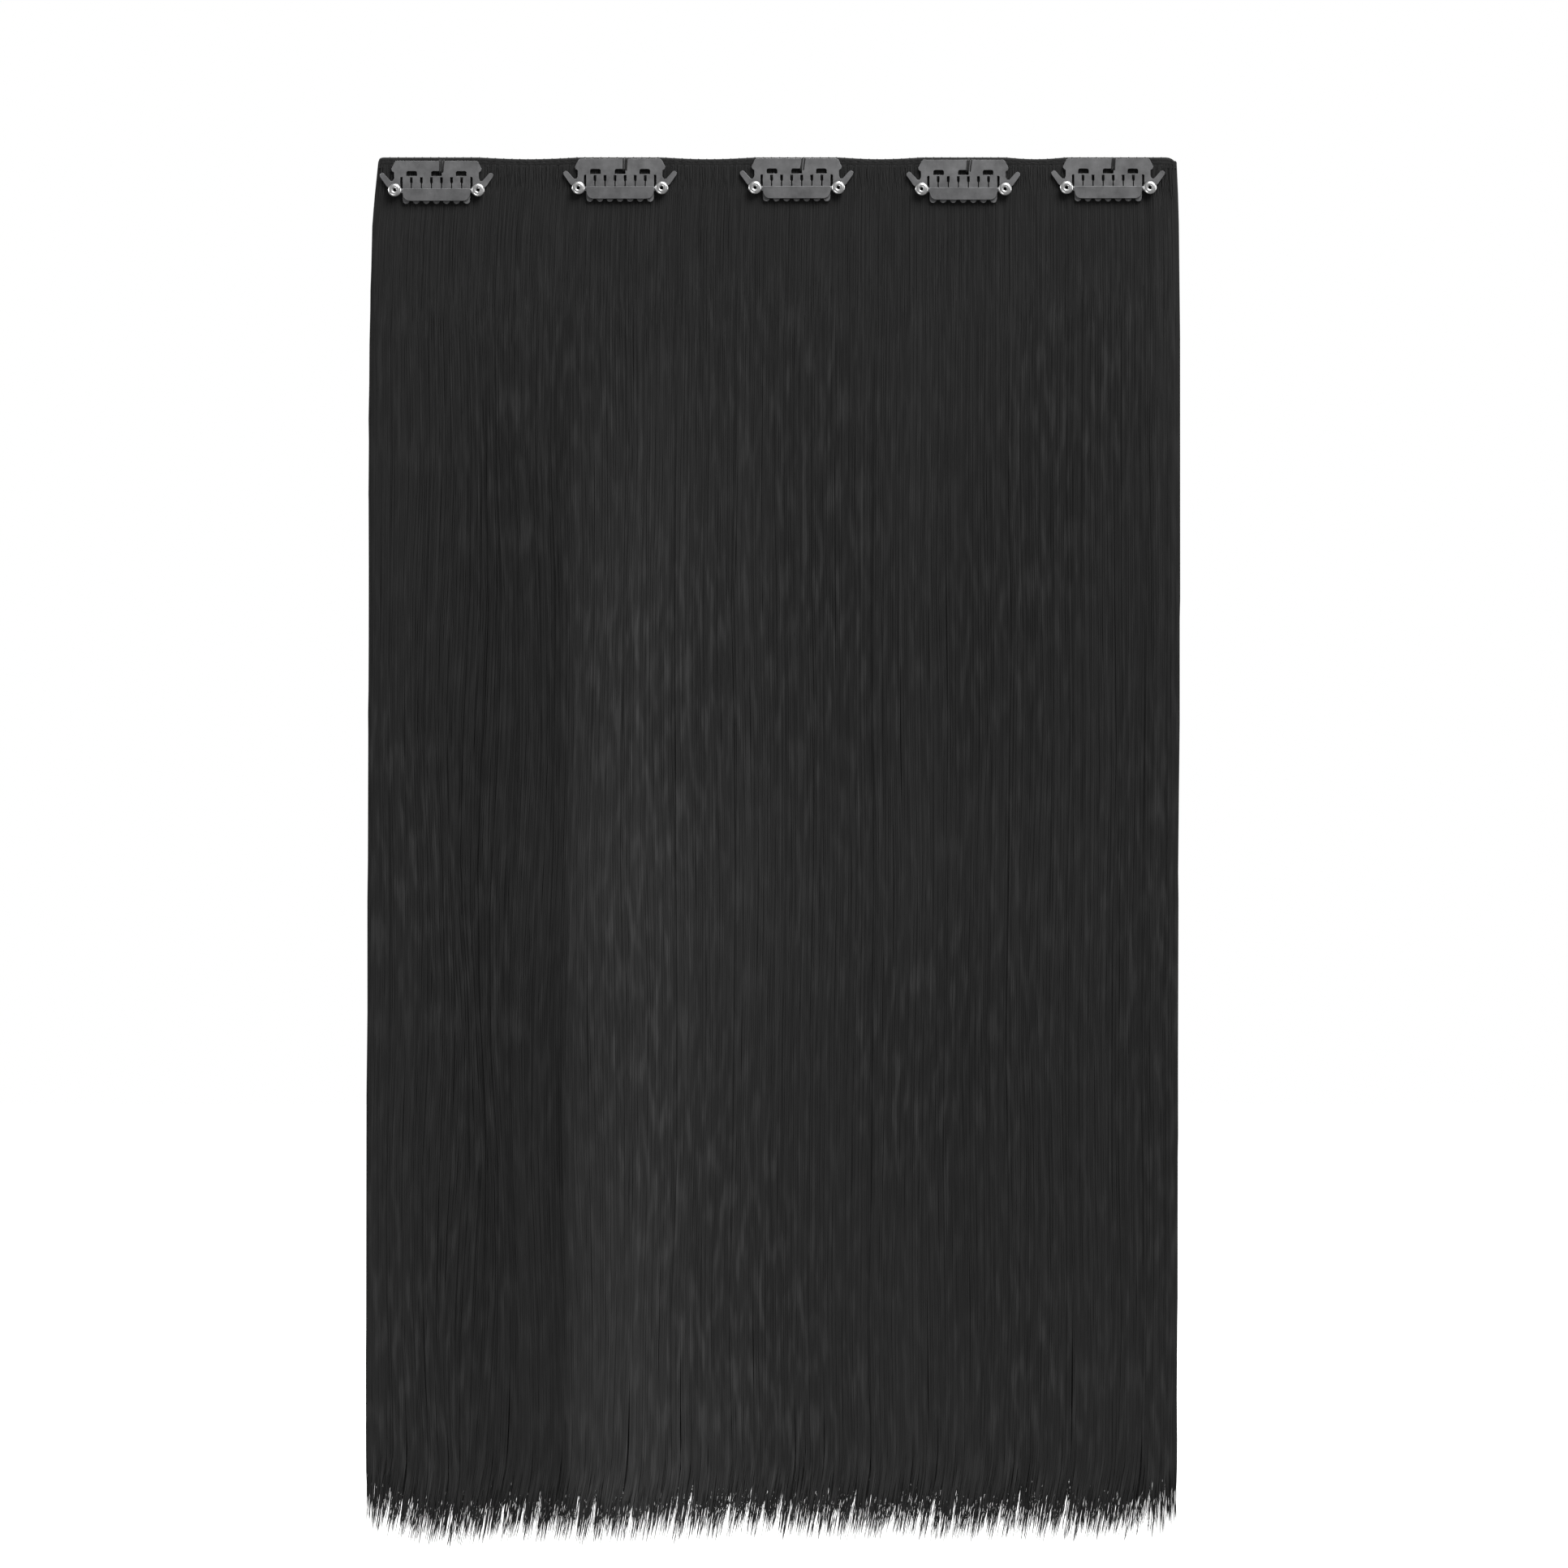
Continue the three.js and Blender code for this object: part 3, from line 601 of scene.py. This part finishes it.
def weft_seam():
    """The seam: a narrow rolled strip with two sewn furrows along each face."""
    stations = np.concatenate([
        BAND_LEFT + np.array([0.0, 0.15, 0.4, 0.8, 1.3]),
        np.linspace(BAND_LEFT + 2, BAND_RIGHT - 4, 420),
        BAND_RIGHT - np.array([3.0, 2.2, 1.5, 0.9, 0.5, 0.2, 0.05, 0.0]),
    ])
    rng = np.random.default_rng(51)
    lumps = np.convolve(rng.normal(0, 1, len(stations) + 40), np.hanning(9) / np.hanning(9).sum(), "same")[20:-20]
    # share of the height from the top, depth as a share of half the thickness
    face = np.array([[0.0, 0.45], [0.05, 0.80], [0.14, 0.97], [0.26, 1.0], [0.36, 0.93], [0.44, 0.97], [0.58, 1.0], [0.68, 0.9], [0.74, 0.84], [0.82, 0.92], [0.92, 0.95], [1.0, 0.86]])
    rings = []
    for x, lump in zip(stations, lumps):
        top = float(band_top(x))
        height = BAND_HEIGHT + top
        end = min((x - BAND_LEFT) / 0.8, (BAND_RIGHT - x) / 0.9, 1.0)
        thick = BAND_THICK / 2 * (0.35 + 0.65 * math.sqrt(max(0.0, 1 - (1 - end) ** 2)))
        z = top - face[:, 0] * height
        y = face[:, 1] * thick * (1 + 0.035 * lump)
        f = np.stack([np.full(len(z), x), -y, z], -1)
        b = np.stack([np.full(len(z), x), y, z], -1)[::-1]
        rings.append(np.concatenate([f, b]))
    n = len(rings[0])
    points = np.concatenate(rings)
    k = np.arange(n)
    k2 = (k + 1) % n
    quads = np.concatenate([np.stack([i * n + k, i * n + k2, (i + 1) * n + k2, (i + 1) * n + k], -1) for i in range(len(rings) - 1)])

    def cap(base, flip):
        tris = []
        for i in range(n // 2 - 1):
            a, b, c, d = i, i + 1, n - 2 - i, n - 1 - i
            tris += [(a, b, c), (a, c, d)] if b != c else [(a, b, d)]
        t = np.array(tris) + base
        return t[:, ::-1] if flip else t

    return points, [quads, cap(0, True), cap((len(rings) - 1) * n, False)]


def seam_stitches():
    """Two rows of short lockstitches along each face, sunk in the furrows, and the thread that whips the top edge."""
    rng = np.random.default_rng(52)
    parts = []
    for face in (-1, 1):
        for share, pitch in ((0.37, 2.1), (0.75, 2.1)):
            x = BAND_LEFT + 1.6 + (0.9 if share > 0.5 else 0)
            while x < BAND_RIGHT - 4.2:
                long = pitch * 0.78
                f = np.linspace(0, 1, 6)
                px = x + f * long
                top = band_top(px)
                pz = top - share * (BAND_HEIGHT + top) + rng.normal(0, 0.05)
                py = face * (BAND_THICK / 2 * 0.93 + 0.10 * np.sin(np.pi * f) - 0.04)
                r = 0.13 * (0.55 + 0.45 * np.sin(np.pi * f))
                parts.append(tube(np.stack([px, py, pz], -1), r, 5))
                x += pitch
    # over the seam from front to back: y, and height above its top edge
    over = np.array([
        [-1.1, -1.15], [-1.24, -0.9], [-1.24, -0.6], [-1.18, -0.36], [-0.98, -0.12], [-0.56, 0.02],
        [0.0, 0.03], [0.56, 0.02], [0.98, -0.12], [1.18, -0.36], [1.24, -0.6], [1.24, -0.9], [1.1, -1.15],
    ])
    x = BAND_LEFT + 2.5
    while x < BAND_RIGHT - 5:
        px = x + np.linspace(0, 1.5, len(over)) + rng.normal(0, 0.05)
        parts.append(tube(np.stack([px, over[:, 0], band_top(px) + over[:, 1]], -1), 0.085, 5))
        x += 2.3
    return joined(parts)


seam = mesh_object("weft_seam", *weft_seam(), SEAM, slot="weft")
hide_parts("weft_band")
mesh_object("seam_stitches", *seam_stitches(), THREAD, slot="weft")


# ---- clips: CAD nodes with softened edges, bow necks and sewing threads ------------------------------------------
def soften(obj, width, segments):
    weld = obj.modifiers.new("weld", "WELD")
    weld.merge_threshold = 0.002 * MM
    flat = obj.modifiers.new("merge_flats", "DECIMATE")
    flat.decimate_type = "DISSOLVE"
    flat.angle_limit = math.radians(2)
    b = obj.modifiers.new("edge", "BEVEL")
    b.width = width * MM
    b.segments = segments
    b.limit_method = "ANGLE"
    b.angle_limit = math.radians(35)
    b.harden_normals = False


def paint(obj, material):
    obj.data.materials.clear()
    obj.data.materials.append(material)


# radius and height of the hollow rivet's turned profile, from the foot up to the rolled head and down the bore
RIVET_PROFILE = [
    (0.40, 0.00), (1.44, 0.00), (1.50, 0.06), (1.50, 0.19), (1.44, 0.25), (0.90, 0.25), (0.90, 1.30), (1.52, 1.30),
    (1.60, 1.36), (1.60, 1.79), (1.54, 1.85), (1.84, 1.85), (1.90, 1.92), (1.90, 2.08), (1.84, 2.22), (1.70, 2.38),
    (1.50, 2.50), (1.22, 2.57), (0.95, 2.59), (0.74, 2.56), (0.59, 2.49), (0.49, 2.38), (0.42, 2.24), (0.40, 2.05),
]


def turned(profile, cx, foot, cz, sides):
    """A ring-shaped turned piece whose axis runs along -Y from foot."""
    a = np.arange(sides) * 2 * np.pi / sides
    rings = [np.stack([cx + r * np.cos(a), np.full(sides, foot - h), cz + r * np.sin(a)], -1) for r, h in profile]
    n, k = len(rings), np.arange(sides)
    k2 = (k + 1) % sides
    quads = [np.stack([i * sides + k, ((i + 1) % n) * sides + k, ((i + 1) % n) * sides + k2, i * sides + k2], -1) for i in range(n)]
    return np.concatenate(rings), [np.concatenate(quads)]


def neck(cx, cz, side):
    """The short strip that runs from the bow's end into its riveted end."""
    us = np.linspace(9.45, 11.0, 9)
    rings = []
    for u in us:
        f = (u - us[0]) / (us[-1] - us[0])
        top, low = 0.45 - 0.10 * math.sin(math.pi * f), -1.0 + 0.42 * math.sin(math.pi * f / 2)
        section = [(-2.94, low + 0.06), (-2.94, top - 0.06), (-3.0, top), (-3.3, top), (-3.36, top - 0.06), (-3.36, low + 0.06), (-3.3, low), (-3.0, low)]
        rings.append(np.array([(cx + side * u, y, cz + w) for y, w in section]))
    n, k = len(rings[0]), np.arange(len(rings[0]))
    k2 = (k + 1) % n
    quads = np.concatenate([np.stack([i * n + k, i * n + k2, (i + 1) * n + k2, (i + 1) * n + k], -1) for i in range(len(rings) - 1)])
    fan = np.array([(0, j, j + 1) for j in range(1, n - 1)])
    faces = [quads, fan[:, ::-1], fan + (len(rings) - 1) * n]
    if side > 0:
        faces = [f[:, ::-1] for f in faces]
    return np.concatenate(rings), faces


for i, (cx, drop) in enumerate(CLIPS, 1):
    comb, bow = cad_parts[f"clip_{i}_comb"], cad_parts[f"clip_{i}_bow"]
    paint(comb, STEEL)
    paint(bow, BOW_STEEL)
    soften(comb, 0.1, 2)
    soften(bow, 0.13, 3)
    for side, k in (("left", -1), ("right", 1)):
        x = cx + k * RIVET_HALF
        rivet = mesh_object(f"clip_{i}_rivet_{side}_turned", *turned(RIVET_PROFILE, x, PLATE_BACK + 0.5, -drop, 28), RIVET, slot="rivet_steel")
        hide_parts(f"clip_{i}_rivet_{side}")
        link = mesh_object(f"clip_{i}_neck_{side}", *neck(cx, -drop, k), BOW_STEEL, body=None, slot="clip_steel", smooth=False)
        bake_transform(link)
    # Black thread that ties the sewing bar to the seam through the middle slot.
    rng = np.random.default_rng(60 + i)
    parts = []
    for k in range(3):
        u = 1.0 + 0.42 * k + rng.normal(0, 0.05)
        lean = rng.normal(0.25, 0.15)
        a = np.linspace(0, 1, 15)
        # from behind the bar at the slot, round its front and over its top into the seam
        w = np.interp(a, [0, 0.12, 0.25, 0.8, 0.9, 1.0], [4.7, 4.9, 5.3, BAR_TOP - 0.05, BAR_TOP + 0.25, BAR_TOP + 0.1])
        y = np.interp(a, [0, 0.12, 0.25, 0.8, 0.9, 1.0], [-1.5, -2.3, -2.62, -2.62, -2.2, -1.0])
        path = np.stack([cx + u + lean * (w - 4.7) / 3.2, y, -drop + np.minimum(w, BAR_TOP + 0.15)], -1)
        parts.append(tube(path, 0.19, 7))
    mesh_object(f"clip_{i}_thread", *joined(parts), THREAD, slot="weft")


# ---- floor, light and camera --------------------------------------------------------------------------------------
def floor():
    m, nodes, links, bsdf = new_material("pale_floor")
    bsdf.inputs["Base Color"].default_value = (0.5, 0.5, 0.5, 1)
    bsdf.inputs["Emission Color"].default_value = (1, 1, 1, 1)
    bsdf.inputs["Emission Strength"].default_value = 0.9
    bsdf.inputs["Roughness"].default_value = 0.9
    bsdf.inputs["Specular IOR Level"].default_value = 0.0
    mesh = bpy.data.meshes.new("floor")
    s, z = 6.0, -0.45
    mesh.from_pydata([(-s, -s, z), (s, -s, z), (s, s, z), (-s, s, z)], [], [(0, 1, 2, 3)])
    mesh.materials.append(m)
    obj = bpy.data.objects.new("floor", mesh)
    bpy.context.scene.collection.objects.link(obj)
    obj.visible_diffuse = obj.visible_glossy = False


def area(name, place, target, size, power):
    light = bpy.data.lights.new(name, "AREA")
    light.shape = "RECTANGLE"
    light.size, light.size_y = size
    light.energy = power
    obj = bpy.data.objects.new(name, light)
    bpy.context.scene.collection.objects.link(obj)
    obj.visible_camera = False
    obj.location = place
    from mathutils import Vector
    obj.rotation_euler = (Vector(target) - Vector(place)).to_track_quat("-Z", "Y").to_euler()


floor()
world = bpy.data.worlds.new("studio")
world.use_nodes = True
nodes, links = world.node_tree.nodes, world.node_tree.links
soft = nodes["Background"]
soft.inputs["Color"].default_value = (1, 1, 1, 1)
soft.inputs["Strength"].default_value = 0.42
paper = nodes.new("ShaderNodeBackground")
paper.inputs["Color"].default_value = (1, 1, 1, 1)
paper.inputs["Strength"].default_value = 1.0
seen, either = nodes.new("ShaderNodeLightPath"), nodes.new("ShaderNodeMixShader")
links.new(seen.outputs["Is Camera Ray"], either.inputs["Fac"])
links.new(soft.outputs["Background"], either.inputs[1])
links.new(paper.outputs["Background"], either.inputs[2])
links.new(either.outputs["Shader"], nodes["World Output"].inputs["Surface"])
bpy.context.scene.world = world
area("key", (0.85, -1.6, 1.7), (0, 0, -0.15), (1.4, 1.4), 114.0)
area("fill", (-0.6, -1.1, -0.9), (0, 0, -0.3), (0.7, 0.7), 9.0)
area("back_key", (-0.85, 1.6, 1.7), (0, 0, -0.15), (1.4, 1.4), 114.0)
area("back_fill", (0.6, 1.1, -0.9), (0, 0, -0.3), (0.7, 0.7), 9.0)
area("right_side", (1.8, 0, 0.1), (0, 0, -0.2), (0.8, 0.8), 22.0)
area("left_side", (-1.8, 0, 0.1), (0, 0, -0.2), (0.8, 0.8), 22.0)

# The picture is 1932 px square, with 0.23 mm to a pixel where the hair hangs.
PX, DISTANCE = 0.23, 3.0
MID_X, MID_Z = (966 - 952) * PX * MM, -(966 - 194) * PX * MM
data = bpy.data.cameras.new("camera")
data.sensor_fit = "HORIZONTAL"
data.angle = 2 * math.atan(1932 * PX * MM / 2 / DISTANCE)
data.clip_end = 100
camera = bpy.data.objects.new("camera", data)
bpy.context.scene.collection.objects.link(camera)
camera.location = (MID_X, -DISTANCE, MID_Z)
camera.rotation_euler = (math.pi / 2, 0, 0)
bpy.context.scene.camera = camera

bpy.context.scene.view_settings.view_transform = "Standard"
bpy.context.scene.view_settings.look = "None"
